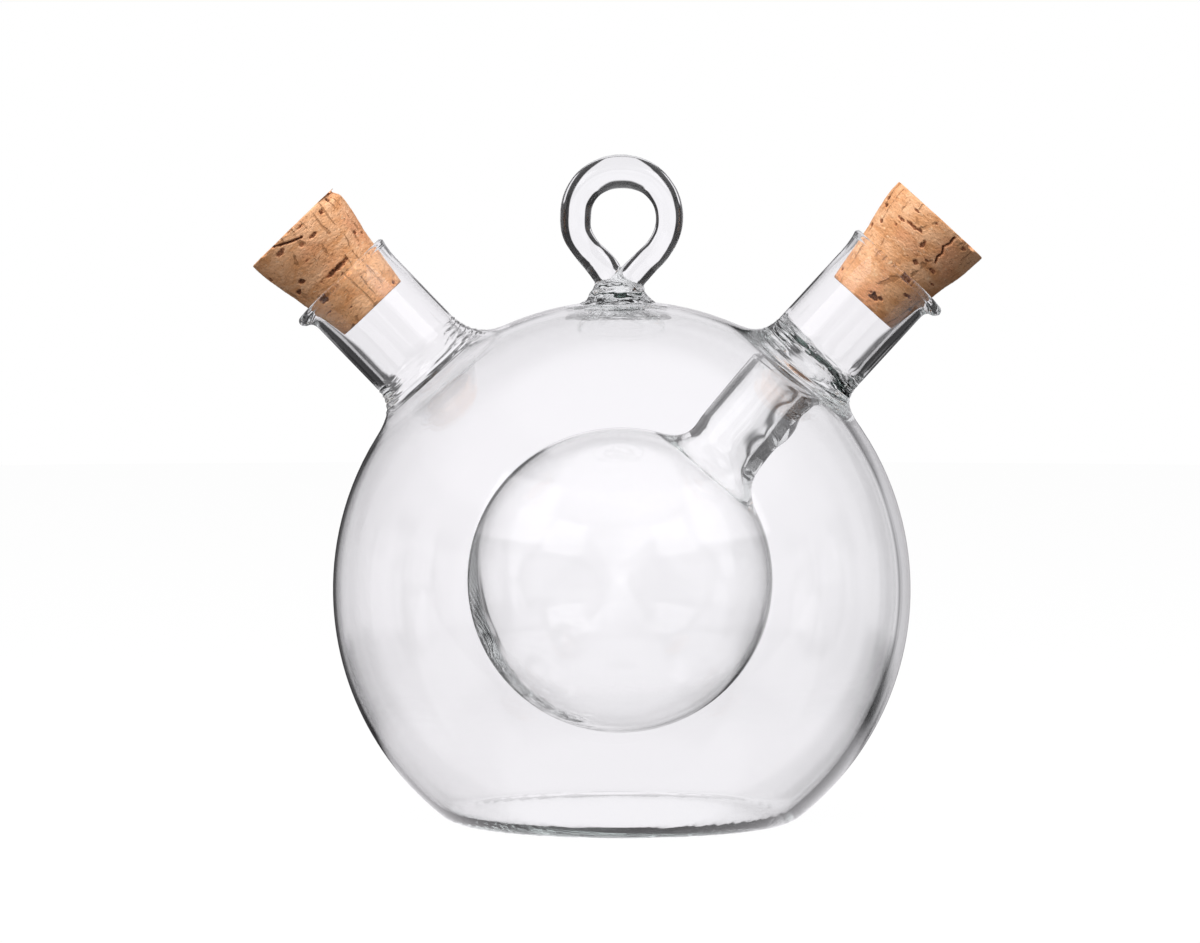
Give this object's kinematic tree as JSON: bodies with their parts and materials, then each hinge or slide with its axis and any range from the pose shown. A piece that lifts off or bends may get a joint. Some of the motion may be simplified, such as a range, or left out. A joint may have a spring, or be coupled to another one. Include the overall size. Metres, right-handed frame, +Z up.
{
  "type": "oil and vinegar bottle",
  "caption": "Round clear glass bottle with a second ball sealed inside it, two slanted corked pouring necks and a loop handle on top, for oil and vinegar at the table.",
  "frame": {"origin": "centre of the flat base, on the surface that the bottle stands on", "axes": "+Z up, +X towards the neck that leads to the inner ball, both necks and the loop handle in the XZ plane"},
  "size_m": [0.1501, 0.12, 0.1387],
  "materials": {
    "clear_glass": "clear, gloss",
    "natural_cork": "natural, matt, pitted"
  },
  "bodies": {
    "glass_body": {"outer_bulb": "clear_glass", "left_neck": "clear_glass", "left_neck_collar": "clear_glass", "right_neck": "clear_glass", "right_neck_collar": "clear_glass", "inner_stem": "clear_glass", "inner_ball": "clear_glass", "loop_handle": "clear_glass", "handle_foot": "clear_glass"},
    "left_cork": {"left_cork": "natural_cork"},
    "right_cork": {"right_cork": "natural_cork"}
  },
  "joints": [
    {"name": "left_cork_pull", "type": "slide", "parent": "glass_body", "child": "left_cork", "axis": [-0.6947, 0, 0.7193], "range_m": [0, 0.025]},
    {"name": "right_cork_pull", "type": "slide", "parent": "glass_body", "child": "right_cork", "axis": [0.6756, 0, 0.7373], "range_m": [0, 0.025]}
  ]
}
